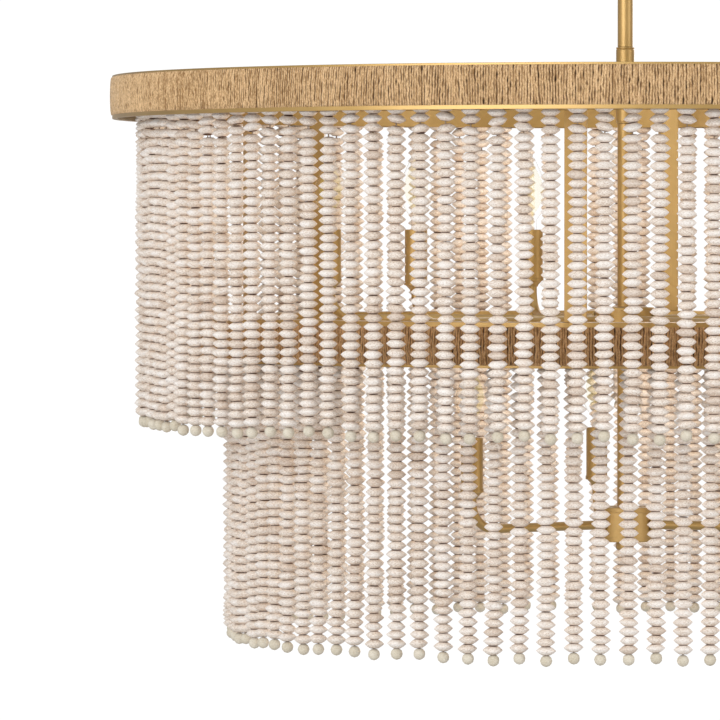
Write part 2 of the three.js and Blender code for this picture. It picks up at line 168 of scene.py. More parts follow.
# Studio
FLOOR_HALF_WIDTH = 3.6
FLOOR_DEPTH = 3.0
CLEAN_WHITE = 1.05
SOFT_WHITE = (1.0, 0.99, 0.985)
WARM_WHITE = (1.0, 0.99, 0.98)
PLAIN_WHITE = (1.0, 1.0, 1.0)
SOFT_BOXES = {
    "key": {"place": (-2.0, -3.7, -0.2), "size": (3.2, 2.0), "watts": 73, "tint": SOFT_WHITE},
    "fill": {"place": (3.9, -2.3, -0.7), "size": (1.8, 2.6), "watts": 35, "tint": WARM_WHITE},
    "bounce": {"place": (-0.6, -4.3, -2.2), "size": (3.0, 1.6), "watts": 3, "tint": SOFT_WHITE},
    "back": {"place": (1.4, 4.2, 0.6), "size": (3.0, 2.4), "watts": 60, "tint": PLAIN_WHITE},
}
SOFT_BOX_AIM = (0, 0, -0.69)

# Camera
EYE_DISTANCE = 6.066
EYE_DROP = 190 * MM
AIM_LEFT = 275 * MM
AIM_DROP = 134 * MM
LENS_MM = 292.3
SENSOR_MM = 36
CLIP_NEAR, CLIP_FAR = 0.1, 60

rng = random.Random(7)


def outer_radius(node):
    """How far from the chandelier's axis a node reaches."""
    return max(math.hypot(vert.co.x, vert.co.y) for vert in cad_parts[node].data.vertices)


def inner_radius(node):
    """How near to the chandelier's axis a node comes."""
    return min(math.hypot(vert.co.x, vert.co.y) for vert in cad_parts[node].data.vertices)


def top(node):
    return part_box(node)[1].z


def bottom(node):
    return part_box(node)[0].z


def azimuth_of(node):
    """The azimuth of a node's middle, counted from -Y towards +X."""
    low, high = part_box(node)
    middle = (low + high) / 2
    return math.atan2(middle.x, -middle.y)


def lifted(height):
    return Matrix.Translation((0, 0, height))


def leaning(about_x, about_y):
    return Matrix.Rotation(about_x, 4, "X") @ Matrix.Rotation(about_y, 4, "Y")


def at_azimuth(azimuth, height=0):
    """Turns what is drawn out along -Y to an azimuth, and lifts it to a height."""
    return lifted(height) @ Matrix.Rotation(azimuth, 4, "Z")


# Finishes


class Value:
    """A shader socket that takes part in sums."""

    def __init__(self, finish, socket):
        self.finish = finish
        self.socket = socket

    def maths(self, operation, *values):
        return self.finish.add("ShaderNodeMath", {"operation": operation}, dict(enumerate(values)))

    def __add__(self, other):
        return self.maths("ADD", self, other)

    def __radd__(self, other):
        return self.maths("ADD", other, self)

    def __sub__(self, other):
        return self.maths("SUBTRACT", self, other)

    def __rsub__(self, other):
        return self.maths("SUBTRACT", other, self)

    def __mul__(self, other):
        return self.maths("MULTIPLY", self, other)

    def __rmul__(self, other):
        return self.maths("MULTIPLY", other, self)

    def __pow__(self, other):
        return self.maths("POWER", self, other)

    def between(self, low, high):
        """0 at low, 1 at high, smooth between them and level past them."""
        settings = {"interpolation_type": "SMOOTHSTEP"}
        sockets = {"Value": self, "From Min": low, "From Max": high}
        return self.finish.add("ShaderNodeMapRange", settings, sockets)


class Shading:
    """A tree of shader nodes."""

    def __init__(self, tree):
        self.tree = tree
        tree.nodes.clear()

    def add(self, kind, settings=None, sockets=None, output=0):
        """A node with its settings, then its sockets' values or links. Gives one of its outputs."""
        node = self.tree.nodes.new(kind)
        for name, value in (settings or {}).items():
            setattr(node, name, value)
        self.feed(node, sockets or {})
        return None if output is None else Value(self, node.outputs[output])

    def feed(self, node, sockets):
        for name, value in sockets.items():
            if isinstance(value, Value):
                self.tree.links.new(value.socket, node.inputs[name])
            else:
                node.inputs[name].default_value = value

    def split(self, vector):
        """The three parts of a vector."""
        node = self.add("ShaderNodeSeparateXYZ", {}, {"Vector": vector}).socket.node
        return [Value(self, socket) for socket in node.outputs]

    def mix(self, share, first, second):
        """A colour between two colours."""
        settings = {"data_type": "RGBA"}
        return self.add("ShaderNodeMix", settings, {"Factor": share, 6: first, 7: second}, output=2)


class Finish(Shading):
    """A material with one surface shader and the nodes that feed it."""

    def __init__(self, name, **surface):
        self.material = bpy.data.materials.new(name)
        self.material.use_nodes = True
        super().__init__(self.material.node_tree)
        shader = self.add("ShaderNodeBsdfPrincipled")
        self.shader = shader.socket.node
        self.surface(**surface)
        self.add("ShaderNodeOutputMaterial", {}, {"Surface": shader}, output=None)
        self.place = self.add("ShaderNodeTexCoord", output="Object")

    def surface(self, **sockets):
        """Feeds the surface shader. Underscores in the names stand for spaces."""
        self.feed(self.shader, {name.replace("_", " "): value for name, value in sockets.items()})

    def attribute(self, name):
        return self.add("ShaderNodeAttribute", {"attribute_name": name}, output="Fac")

    def noise(self, scale, stretch=(1, 1, 1), detail=3, turn=(0, 0, 0)):
        """Noise with its grains 1 / scale metres wide, squeezed along each axis by stretch."""
        size = tuple(scale * share for share in stretch)
        place = self.add("ShaderNodeMapping", {}, {"Vector": self.place, "Rotation": turn, "Scale": size})
        return self.add("ShaderNodeTexNoise", {}, {"Vector": place, "Scale": 1, "Detail": detail})

    def facing(self, blend):
        """0 where the surface faces the eye, 1 along its outline."""
        return self.add("ShaderNodeLayerWeight", {}, {"Blend": blend}, output="Facing")

    def bump(self, height, distance, strength=1):
        sockets = {"Height": height, "Distance": distance, "Strength": strength}
        return self.add("ShaderNodeBump", {}, sockets)


def colour(red, green, blue):
    return (red, green, blue, 1)


def brushed_brass(name, grain, base=colour(0.57, 0.378, 0.138), deep=colour(0.47, 0.30, 0.098)):
    """Satin brass, with brush lines that are fine along the axes that grain squeezes."""
    finish = Finish(name, Metallic=1, Coat_Weight=0.6, Coat_Roughness=0.3)
    lines = finish.noise(2600, grain, detail=2)
    blotches = finish.noise(16, detail=2)
    tint = (lines - 0.5) * 0.5 + blotches
    finish.surface(
        Base_Color=finish.mix(tint.between(0.25, 0.85), deep, base),
        Roughness=0.37 + 0.10 * lines + 0.06 * blotches,
        Normal=finish.bump(lines, 0.02 * MM, 0.5),
    )
    return finish.material


def zinc_steel():
    finish = Finish("zinc_steel", Metallic=1)
    spangle = finish.noise(90, detail=2)
    scratches = finish.noise(1500, (1, 0.05, 1), detail=2)
    finish.surface(
        Base_Color=finish.mix(spangle.between(0.3, 0.7), colour(0.50, 0.51, 0.53), colour(0.66, 0.67, 0.69)),
        Roughness=0.34 + 0.18 * spangle,
        Normal=finish.bump(scratches, 0.03 * MM, 0.4),
    )
    return finish.material


def whitewashed_wood(name, wash, blush, slope, bare, pore_and_crevice_shade=colour(0.15, 0.07, 0.04)):
    """Turned wood under a thin white wash, browner where the grain is open, with painted shade on its flanks
    towards the cord and a dark line by the hole that is partly dirt and partly painted shade, where one bead
    meets the next.
    """
    finish = Finish(name)
    tone = finish.attribute("tone")
    core = finish.attribute("core")
    clouds = finish.noise(130, detail=2)
    flecks = finish.noise(620, (0.8, 0.8, 3.0), detail=3)
    pores = finish.noise(1300, (1, 1, 1.4), detail=1)
    wood = finish.mix((clouds + 0.5 * tone).between(0.35, 1.05), wash, blush)
    # Painted shade: the flanks turn towards the slope colour as they near the hole, where the neighbouring
    # beads close in.
    wood = finish.mix((core + 0.5 * (clouds - 0.5)).between(0.15, 0.95) * 0.45, wood, slope)
    grain = flecks.between(0.48, 0.60) * (0.30 + 0.32 * tone)
    wood = finish.mix(grain, wood, bare)
    wood = finish.mix(tone.between(0.90, 1.0) * 0.28, wood, bare)
    # Open pores take the same dark brown as the grain's own colour.
    wood = finish.mix(pores.between(0.64, 0.72) * 0.42, wood, pore_and_crevice_shade)
    # A dark line round the hole, where one bead meets the next: partly dirt, partly painted shade.
    wood = finish.mix(core.between(0.86, 0.98) * 0.97, wood, pore_and_crevice_shade)
    finish.surface(
        Base_Color=wood,
        Roughness=0.72 + 0.16 * flecks,
        Specular_IOR_Level=0.3,
        Normal=finish.bump(0.7 * flecks + 0.3 * pores, 0.35 * MM, 0.7),
    )
    return finish.material


def jute_twine(name, straw_dark, straw_light):
    """Two-ply jute: slanting plies, loose fibres, and painted shade where one turn meets the next and in the
    gaps between the turns.
    """
    finish = Finish(name)
    tone = finish.attribute("tone")
    groove = finish.attribute("groove")
    along_x, along_y, height = finish.split(finish.place)
    angle = along_x.maths("ARCTAN2", along_x, 0 - along_y)
    fibres = finish.noise(1700, (1, 1, 0.20), detail=3, turn=(0.2, 0.14, 0))
    fuzz = finish.noise(1000, (1, 1, 0.6), detail=2, turn=(0.1, 0.5, 0))
    loose = finish.noise(420, (1, 1, 0.5), detail=2)
    breaks = finish.noise(300, (1, 1, 0.45), detail=2)
    patches = finish.noise(9, detail=2)
    plies_per_radian = outer_radius("upper_hoop_twine") / (PLY_REACH * TWINE_PITCH)
    turns = height * (1 / TWINE_TWIST) + angle * plies_per_radian + 9 * tone
    ply = 0.5 + 0.5 * turns.maths("SINE", TURN * turns + 9 * loose)
    # The ply term adds a faint painted shade along the grooves between the plies; the rest is fibre and
    # tone.
    light = 0.14 * tone + 0.62 * fibres + 0.54 * fuzz + 0.10 * patches + 0.04 * ply
    straw = finish.mix(light.between(0.46, 0.92), straw_dark, straw_light)
    straw = finish.mix(fibres.between(0.60, 0.70) * 0.30, straw, colour(0.16, 0.08, 0.035))
    # Painted shade: a brown line down each turn's sides, where it meets the next, broken up by noise.
    seam_shade = groove + 1.4 * (breaks - 0.52)
    straw = finish.mix(seam_shade.between(0.12, 0.38) * 0.75, straw, colour(0.25, 0.13, 0.045))
    # Painted shade: near black on each turn's inward side and on the underlayer, in the gaps between the
    # turns.
    shade = finish.mix(breaks.between(0.44, 0.60), colour(0.34, 0.19, 0.08), colour(0.02, 0.01, 0.006))
    straw = finish.mix(groove.between(0.75, 1.0), straw, shade)
    finish.surface(
        Base_Color=straw,
        Roughness=0.9,
        Specular_IOR_Level=0.2,
        Sheen_Weight=0.2,
        Sheen_Roughness=0.5,
        Normal=finish.bump(0.6 * fibres + 0.6 * fuzz + 0.1 * ply, 0.6 * MM, 0.9),
    )
    return finish.material


def cotton_cord():
    finish = Finish("cotton_cord")
    lay = finish.noise(900, (1, 1, 0.4), detail=2)
    finish.surface(
        Base_Color=finish.mix(lay, colour(0.30, 0.21, 0.14), colour(0.52, 0.41, 0.30)),
        Roughness=0.85,
        Normal=finish.bump(lay, 0.2 * MM, 0.6),
    )
    return finish.material


def moulded_phenolic():
    finish = Finish("moulded_phenolic")
    mottle = finish.noise(240, detail=3)
    finish.surface(
        Base_Color=finish.mix(mottle, colour(0.020, 0.016, 0.014), colour(0.042, 0.034, 0.030)),
        Roughness=0.42 + 0.16 * mottle,
        Normal=finish.bump(mottle, 0.05 * MM, 0.3),
    )
    return finish.material


def bulb_glass():
    """Clear glass, nearly unseen where it faces the eye, with a painted dark outline that stands for the
    darkening refraction at its edges.
    """
    finish = Finish("bulb_glass", Roughness=0.03, Specular_IOR_Level=0.6)
    edge = finish.facing(0.4)
    ripple = finish.noise(60, detail=1)
    finish.surface(
        # Painted shade: this dark brown shows only along the outline, standing for the refraction at the
        # glass's edges.
        Base_Color=finish.mix(ripple, colour(0.10, 0.075, 0.045), colour(0.16, 0.13, 0.09)),
        Alpha=0.03 + 0.5 * edge ** 3,
    )
    return finish.material


def glowing(name, dim, bright, strength, soft=0.0):
    """Something lit: hotter where the heat attribute rises, and softer along its outline."""
    finish = Finish(name, Roughness=0.6, Specular_IOR_Level=0)
    heat = finish.attribute("heat")
    glow = finish.mix(heat.between(0, 0.6), dim, bright)
    finish.surface(
        Base_Color=finish.mix(heat, colour(0.002, 0.0015, 0.0005), colour(0.004, 0.003, 0.001)),
        Emission_Color=glow,
        Emission_Strength=strength,
        Alpha=(0.1 + 0.9 * heat.between(0, 0.5)) * (1 - soft * finish.facing(0.5)),
    )
    return finish.material


ROUND_GRAIN = (0.35, 0.35, 1)
LONG_GRAIN = (1, 1, 0.02)
SHEET_GRAIN = (0.25, 0.25, 1)

brass_turned = brushed_brass("brass_turned", ROUND_GRAIN)
brass_drawn = brushed_brass("brass_drawn", LONG_GRAIN)
brass_sheet = brushed_brass("brass_sheet", SHEET_GRAIN)
steel = zinc_steel()
bead_wood = whitewashed_wood(
    "bead_wood",
    wash=colour(0.95, 0.92, 0.89),
    blush=colour(0.88, 0.805, 0.73),
    # slope: the painted shade on the bead's flanks towards its neighbours.
    slope=colour(0.72, 0.585, 0.47),
    bare=colour(0.48, 0.34, 0.24),
)
ball_wood = whitewashed_wood(
    "ball_wood",
    wash=colour(0.76, 0.715, 0.615),
    blush=colour(0.66, 0.61, 0.50),
    slope=colour(0.70, 0.62, 0.46),
    bare=colour(0.52, 0.44, 0.30),
)
twine = {
    "upper": jute_twine("jute_twine_upper", colour(0.33, 0.18, 0.066), colour(0.85, 0.60, 0.338)),
    # The lower twine is a darker copy of the same jute, painting the shade it sits in inside the upper
    # tier's drum of strands.
    "lower": jute_twine("jute_twine_lower_shaded", colour(0.27, 0.135, 0.046), colour(0.68, 0.44, 0.225)),
}
cord = cotton_cord()
phenolic = moulded_phenolic()
glass = bulb_glass()
filament = glowing("filament", colour(1.0, 0.84, 0.46), colour(1.0, 0.95, 0.60), strength=1.3)
halo = glowing("halo", colour(0.95, 0.76, 0.18), colour(0.97, 0.88, 0.34), strength=1.0, soft=0.15)


# Shapes


def spun(profile, steps, closed=True, edge=EDGE):
    """A profile of (radius, height) points turned about Z, with its sharp edges rounded."""
    bm = bmesh.new()
    points = [bm.verts.new((radius, 0, height)) for radius, height in profile]
    ends = points[1:] + points[:1] if closed else points[1:]
    lines = [bm.edges.new(pair) for pair in zip(points, ends)]
    bmesh.ops.spin(
        bm, geom=points + lines, axis=(0, 0, 1), cent=(0, 0, 0), angle=TURN, steps=steps, use_merge=True
    )
    bmesh.ops.remove_doubles(bm, verts=bm.verts, dist=SAME_PLACE)
    bmesh.ops.recalc_face_normals(bm, faces=bm.faces)
    round_edges(bm, edge)
    return bm


def corner(out, up, radius):
    """The points of a rounded corner about a centre, from straight under it to straight out from it."""
    angles = [QUARTER * index / CORNER_STEPS for index in range(CORNER_STEPS + 1)]
    return [(out + radius * math.sin(angle), up - radius * math.cos(angle)) for angle in angles]


def round_edges(bm, edge):
    """Rounds the edges whose faces meet at a sharp angle."""
    sharp = [line for line in bm.edges if line.is_manifold and line.calc_face_angle() > SHARP_ANGLE]
    if sharp and edge:
        bmesh.ops.bevel(
            bm, geom=sharp, offset=edge, offset_type="OFFSET", affect="EDGES",
            segments=2, profile=0.5, material=-1, clamp_overlap=True,
        )


def pipe(outer, bore, low, high, steps, edge=EDGE):
    return spun([(bore, low), (outer, low), (outer, high), (bore, high)], steps, edge=edge)


def bar(low, high, place):
    """A rectangular bar between two corners, then put in its place."""
    bm = bmesh.new()
    size = Vector(high) - Vector(low)
    bmesh.ops.create_cube(bm, size=1, matrix=Matrix.Diagonal(size.to_4d()))
    bmesh.ops.translate(bm, verts=bm.verts, vec=(Vector(low) + Vector(high)) / 2)
    round_edges(bm, EDGE)
    return moved(bm, place)


def swept(path, radius, sides, groove=None):
    """
    A round tube along a path.
    The groove attribute, where it is named, rises from the tube's outward side to its inward side.
    """
    cross = Vector((1, 0, 0))
    bm = bmesh.new()
    layer = bm.verts.layers.float.new(groove) if groove else None
    stations = []
    for index, point in enumerate(path):
        before = path[max(index - 1, 0)]
        after = path[min(index + 1, len(path) - 1)]
        along = (after - before).normalized()
        across = cross.cross(along).normalized()
        turn = Matrix((along.cross(across), across, along)).transposed().to_4x4()
        stations.append(Matrix.Translation(point) @ turn)
    ring = bmesh.ops.create_circle(bm, cap_ends=True, radius=radius, segments=sides)
    if layer:
        for vert in ring["verts"]:
            vert[layer] = (1 - vert.co.y / radius) / 2
    bmesh.ops.transform(bm, matrix=stations[0], verts=ring["verts"])
    edges = list({line for vert in ring["verts"] for line in vert.link_edges})
    for last, station in zip(stations, stations[1:]):
        grown = bmesh.ops.extrude_edge_only(bm, edges=edges)["geom"]
        verts = [item for item in grown if isinstance(item, bmesh.types.BMVert)]
        edges = [
            item for item in grown
            if isinstance(item, bmesh.types.BMEdge) and all(vert in verts for vert in item.verts)
        ]
        bmesh.ops.transform(bm, matrix=station @ last.inverted(), verts=verts)
    bmesh.ops.edgeloop_fill(bm, edges=edges)
    bmesh.ops.recalc_face_normals(bm, faces=bm.faces)
    return bm


def kept(name, bm):
    """The mesh of a shape that is drawn once and placed many times."""
    mesh = bpy.data.meshes.new(name)
    bm.to_mesh(mesh)
    bm.free()
    return mesh


def gathered(shapes):
    """One shape from several, which it uses up."""
    bm = bmesh.new()
    for index, shape in enumerate(shapes):
        mesh = kept(f"shape_{index}", shape)
        bm.from_mesh(mesh)
        bpy.data.meshes.remove(mesh)
    return bm


def moved(bm, place):
    bmesh.ops.transform(bm, matrix=place, verts=bm.verts)
    return bm


def scattered(copies):
    """One shape from many placed copies, each a kept mesh, its place and its tone."""
    bm = bmesh.new()
    tone = bm.verts.layers.float.new("tone")
    for mesh, place, value in copies:
        first = len(bm.verts)
        bm.from_mesh(mesh)
        bm.verts.ensure_lookup_table()
        for vert in bm.verts[first:]:
            vert.co = place @ vert.co
            vert[tone] = value
    return bm


def piece(name, bm, finish, body, nodes, crisp=True):
    """A shown piece, from a shape that it uses up, in place of one or more of the frame's nodes."""
    mesh = kept(name, bm)
    mesh.materials.append(finish)
    mesh.shade_smooth()
    shown = bpy.data.objects.new(name, mesh)
    bpy.context.scene.collection.objects.link(shown)
    if crisp:
        mesh.set_sharp_from_angle(angle=CRISP_ANGLE)
        shown.modifiers.new("flat faces stay flat", "WEIGHTED_NORMAL").keep_sharp = True
    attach(shown, body)
    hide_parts(*nodes)
    return shown


def brass(name, bm, nodes, finish=None, body="hanging_frame"):
    return piece(name, bm, finish or brass_turned, body, nodes)


# Ceiling fitting


def canopy_shape():
    """A spun cup with a rolled rim and a step round the hole for the shank."""
    wide = outer_radius("canopy")
    hole = inner_radius("canopy")
    floor = bottom("canopy")
    wall = 1.5 * MM
    bend = 8 * MM
    step = 18 * MM
    lift = 0.8 * MM
    outside = [(hole, floor + lift), (step, floor + lift), (step + lift, floor)]
    outside += corner(wide - bend, floor + bend, bend)
    rim = [(wide, -2 * wall), (wide, 0), (wide - wall, 0)]
    inside = corner(wide - bend, floor + bend, bend - wall)[::-1]
    inside += [(step, floor + lift + wall), (hole, floor + lift + wall)]
    return spun(outside + rim + inside, CANOPY_STEPS)


def ring_nut_shape():
    """A turned nut with a grip of fine flutes."""
    wide = outer_radius("canopy_ring_nut")
    hole = inner_radius("canopy_ring_nut")
    low, high = bottom("canopy_ring_nut"), top("canopy_ring_nut")
    flutes = 48
    shape = pipe(wide, hole, low, high, 2 * flutes)
    for vert in shape.verts:
        radius = math.hypot(vert.co.x, vert.co.y)
        share = math.cos(flutes * math.atan2(vert.co.y, vert.co.x))
        if radius > wide - EDGE / 2:
            vert.co.xy *= 1 - FINE_EDGE * (1 - share) / wide
    return shape


def cheek_shape():
    """A round-nosed cheek with a hole for the pin. It lies flat, its inner face at height 0."""
    bm = bmesh.new()
    nose = bmesh.ops.create_circle(bm, radius=CHEEK_HALF_WIDTH, segments=CHEEK_SIDES)["verts"]
    bmesh.ops.create_circle(bm, radius=PIN_RADIUS + SEAT, segments=CHEEK_SIDES)
    bmesh.ops.bridge_loops(bm, edges=bm.edges[:])
    for vert in nose:
        if vert.co.y > 0:
            vert.co.y = PIVOT_REACH + SINK
            vert.co.x = max(-CHEEK_HALF_WIDTH, min(CHEEK_HALF_WIDTH, 2 * vert.co.x))
        else:
            vert.co.y *= CHEEK_END / CHEEK_HALF_WIDTH
    bmesh.ops.remove_doubles(bm, verts=bm.verts, dist=SAME_PLACE)
    walls = bmesh.ops.extrude_face_region(bm, geom=bm.faces[:])["geom"]
    raised = [item for item in walls if isinstance(item, bmesh.types.BMVert)]
    bmesh.ops.translate(bm, verts=raised, vec=(0, 0, CHEEK_THICKNESS))
    bmesh.ops.recalc_face_normals(bm, faces=bm.faces)
    round_edges(bm, FINE_EDGE)
    return bm


def clevis(pivot, up):
    """A foot disc with two cheeks that reach past the pivot. Up is 1 where the foot is above it, or -1."""
    cheek_outer = CHEEK_INNER + CHEEK_THICKNESS
    foot_radius = math.hypot(cheek_outer, CHEEK_HALF_WIDTH) + CHEEK_COVER
    foot = sorted((up * PIVOT_REACH, up * (PIVOT_REACH + CLEVIS_FOOT)))
    shapes = [pipe(foot_radius, WIRE_BORE, *foot, STEM_STEPS)]
    for side in (-1, 1):
        stand = Matrix(((0, 0, side, side * CHEEK_INNER), (1, 0, 0, 0), (0, up, 0, 0), (0, 0, 0, 1)))
        cheek = moved(cheek_shape(), stand)
        bmesh.ops.recalc_face_normals(cheek, faces=cheek.faces)
        shapes.append(cheek)
    return moved(gathered(shapes), lifted(pivot))


def ceiling_fitting():
    """What stays on the ceiling, and the top of the stem that swings under it."""
    pivot = (top("swivel_block") + bottom("swivel_block")) / 2
    foot_end = PIVOT_REACH + CLEVIS_FOOT - SINK
    brass("canopy_spun", canopy_shape(), ["canopy"], brass_sheet, "ceiling_fitting")
    brass("ring_nut_fluted", ring_nut_shape(), ["canopy_ring_nut"], None, "ceiling_fitting")
    shank = pipe(SHANK_RADIUS, WIRE_BORE, pivot + foot_end, top("swivel_socket"), STEM_STEPS)
    socket = gathered([clevis(pivot, 1), shank])
    brass("swivel_clevis_upper", socket, ["swivel_socket"], None, "ceiling_fitting")
    quarter = Matrix.Rotation(QUARTER, 4, "Z")
    brass("swivel_clevis_lower", moved(clevis(pivot, -1), quarter), ["ceiling_stem"])
    tube = pipe(STEM_RADIUS, STEM_RADIUS - STEM_WALL, bottom("ceiling_stem"), pivot - foot_end, STEM_STEPS)
    brass("ceiling_stem_tube", tube, ["ceiling_stem"], brass_drawn)
    carried_over = {"swivel_block": brass_turned, "ceiling_bracket": steel}
    for node, finish in carried_over.items():
        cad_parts[node].data.materials.clear()
        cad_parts[node].data.materials.append(finish)


# Stem line


def stem_line():
    brass("coupling_turned", coupling_shape(), ["stem_coupling"])
    for node in ("inner_stem_upper", "inner_stem_lower"):
        tube = pipe(outer_radius(node), inner_radius(node), bottom(node), top(node), STEM_STEPS)
        brass(f"{node}_tube", tube, [node], brass_drawn)
    for node in ("upper_hub", "lower_hub"):
        brass(f"{node}_turned", hub_shape(node), [node])
    brass("finial_turned", finial_shape(), ["finial"])


def coupling_shape():
    """A collar with a turned groove near each end."""
    wide = outer_radius("stem_coupling")
    bore = inner_radius("stem_coupling")
    low, high = bottom("stem_coupling"), top("stem_coupling")
    collar = 1.1 * MM
    groove = 0.5 * MM
    cuts = [(wide, 0), (wide - groove, groove), (wide - groove, 2 * groove), (wide, 3 * groove)]
    lower = [(radius, low + collar + height) for radius, height in cuts]
    upper = [(radius, high - collar - height) for radius, height in reversed(cuts)]
    return spun([
        (bore, low), (wide, low), *lower, *upper, (wide, high), (bore, high),
    ], STEM_STEPS, edge=FINE_EDGE)


def hub_shape(node):
    """A thick turned disc with a closing cap at each end."""
    wide, bore = outer_radius(node), inner_radius(node)
    low, high = bottom(node), top(node)
    lip, setback = {"upper_hub": (3 * MM, 0.5 * MM), "lower_hub": (5 * MM, 1.2 * MM)}[node]
    collar = 12 * MM
    dish = 0.6 * MM
    return spun([
        (bore, low), (collar, low), (collar + dish, low + dish), (wide - 3 * dish, low + dish),
        (wide - setback - dish, low), (wide - setback, low + dish), (wide - setback, low + lip),
        (wide, low + lip), (wide, high - lip), (wide - setback, high - lip),
        (wide - setback, high - dish), (wide - setback - dish, high), (wide - 3 * dish, high - dish),
        (collar + dish, high - dish), (collar, high), (bore, high),
    ], HUB_STEPS, edge=FINE_EDGE)


def finial_shape():
    """A low turned button with a domed foot."""
    wide = outer_radius("finial")
    low, high = bottom("finial"), top("finial")
    bend = 3 * MM
    neck = 0.6 * MM
    foot = [(0, low), *corner(wide - bend, low + bend, bend)]
    head = [(wide, high - 3 * neck), (wide - neck, high - 2 * neck), (wide - neck, high), (0, high)]
    return spun(foot + head, STEM_STEPS, closed=False, edge=FINE_EDGE)


# Hoops


def channel_shape(tier):
    """An inverted channel. Its outer leg carries the twine between two rims."""
    channel, band = f"{tier}_hoop_channel", f"{tier}_hoop_twine"
    low, high = bottom(channel), top(channel)
    inner, rim = inner_radius(channel), outer_radius(channel)
    web = inner_radius(band) - SEAT
    sheet = 2 * MM
    under, over = bottom(band) - SEAT, top(band) + SEAT
    return spun([
        (inner, low), (inner + sheet, low), (inner + sheet, high - sheet), (web - sheet, high - sheet),
        (web - sheet, low), (rim, low), (rim, under), (web, under), (web, over), (rim, over),
        (rim, high), (inner, high),
    ], HOOP_STEPS)


def twine_turn(radius, low, high):
    """One turn of twine where it shows: out from under the rim, up the face and in again."""
    inside = radius - TWINE_TUCK
    face = radius - TWINE_RADIUS
    middle = (low + high) / 2
    half = (high - low) / 2 - TWINE_RADIUS + TWINE_BULGE
    starts = [rng.uniform(0, TURN) for _ in TWINE_WAVELENGTHS]
    path = []
    for index in range(TWINE_RINGS):
        share = 2 * index / (TWINE_RINGS - 1) - 1
        angle = share * TWINE_TUCK_TURN
        outward = max(0.0, math.cos(angle)) ** TWINE_FLAT_POWER
        height = half * math.copysign(abs(math.sin(angle)) ** TWINE_SPREAD_POWER, share)
        waves = [math.sin(start + TURN * height / wave) for start, wave in zip(starts, TWINE_WAVELENGTHS)]
        sway = outward * (TWINE_WAVE * sum(waves) + rng.gauss(0, TWINE_WAVE / 2))
        path.append(Vector((sway, -(inside + (face - inside) * outward), middle + height)))
    return kept("twine_turn", swept(path, TWINE_RADIUS, TWINE_SIDES, groove="groove"))


def painted_shade_underlayer(inner, outer, low, high):
    """The first layer of the winding, coloured all through in the near-black painted shade that shows in the
    gaps between the turns.
    """
    bm = pipe(outer, inner, low, high, HOOP_STEPS, edge=0)
    groove = bm.verts.layers.float.new("groove")
    for vert in bm.verts:
        vert[groove] = 1
    return kept("painted_shade_underlayer", bm)


def twine_band(tier):
    """All the turns on a hoop. Each leans a little, and much as the one before it does."""
    node = f"{tier}_hoop_twine"
    radius = outer_radius(node)
    low, high = bottom(node), top(node)
    patterns = [twine_turn(radius, low, high) for _ in range(TWINE_PATTERNS)]
    count = round(TURN * radius / TWINE_PITCH)
    middle = Vector((0, -radius, (low + high) / 2))
    drift = TWINE_SLANT * TWINE_SLANT_SHARES["drift"]
    jitter = TWINE_SLANT * TWINE_SLANT_SHARES["jitter"]
    copies = []
    lean = 0
    for index in range(count):
        lean = TWINE_SLANT_KEPT_SHARE * lean + (1 - TWINE_SLANT_KEPT_SHARE) * rng.gauss(0, drift)
        slant = Matrix.Rotation(lean + rng.gauss(0, jitter), 4, "Y")
        thick = Matrix.Diagonal((rng.uniform(*TWINE_THICK_SHARES), 1, 1, 1))
        inward = Matrix.Translation((0, rng.uniform(0, TWINE_SINK), 0))
        local = inward @ Matrix.Translation(middle) @ slant @ thick @ Matrix.Translation(-middle)
        turn = TURN * (index + rng.uniform(-TWINE_STEP_SHARE, TWINE_STEP_SHARE)) / count
        tone = min(max(rng.gauss(*TWINE_TONE), 0), 1)
        copies.append((rng.choice(patterns), Matrix.Rotation(turn, 4, "Z") @ local, tone))
    # The underlayer carries the painted shade between the turns.
    under = painted_shade_underlayer(inner_radius(node), radius - TWINE_LAYER, low, high)
    wound = scattered([*copies, (under, Matrix.Identity(4), 0)])
    piece(f"{tier}_twine_winding", wound, twine[tier], "hanging_frame", [node], crisp=False)


def hoops():
    for tier in ("upper", "lower"):
        brass(f"{tier}_hoop_rolled", channel_shape(tier), [f"{tier}_hoop_channel"], brass_sheet)
        twine_band(tier)


# Strands


def bead_mesh():
    """A lens-shaped bead, with a core attribute that rises from its rim to its hole."""
    bm = bmesh.new()
    core = bm.verts.layers.float.new("core")
    points = []
    for radius, height in BEAD_PROFILE_SHARES:
        point = bm.verts.new((radius * BEAD_RADIUS, 0, height * BEAD_PITCH))
        point[core] = (1 - radius) / (1 - BEAD_PROFILE_SHARES[0][0])
        points.append(point)
    lines = [bm.edges.new(pair) for pair in zip(points, points[1:])]
    bmesh.ops.spin(
        bm, geom=points + lines, axis=(0, 0, 1), cent=(0, 0, 0), angle=TURN, steps=BEAD_SIDES, use_merge=True
    )
    bmesh.ops.holes_fill(bm, edges=bm.edges, sides=BEAD_SIDES)
    bmesh.ops.recalc_face_normals(bm, faces=bm.faces)
    return kept("bead", bm)


def ball_mesh():
    bm = bmesh.new()
    bmesh.ops.create_icosphere(bm, subdivisions=2, radius=BALL_RADIUS)
    return kept("ball", bm)


def cord_mesh(length):
    bm = bmesh.new()
    bmesh.ops.create_cone(
        bm, cap_ends=True, segments=CORD_SIDES, radius1=CORD_RADIUS, radius2=CORD_RADIUS, depth=length
    )
    return kept("cord", bm)


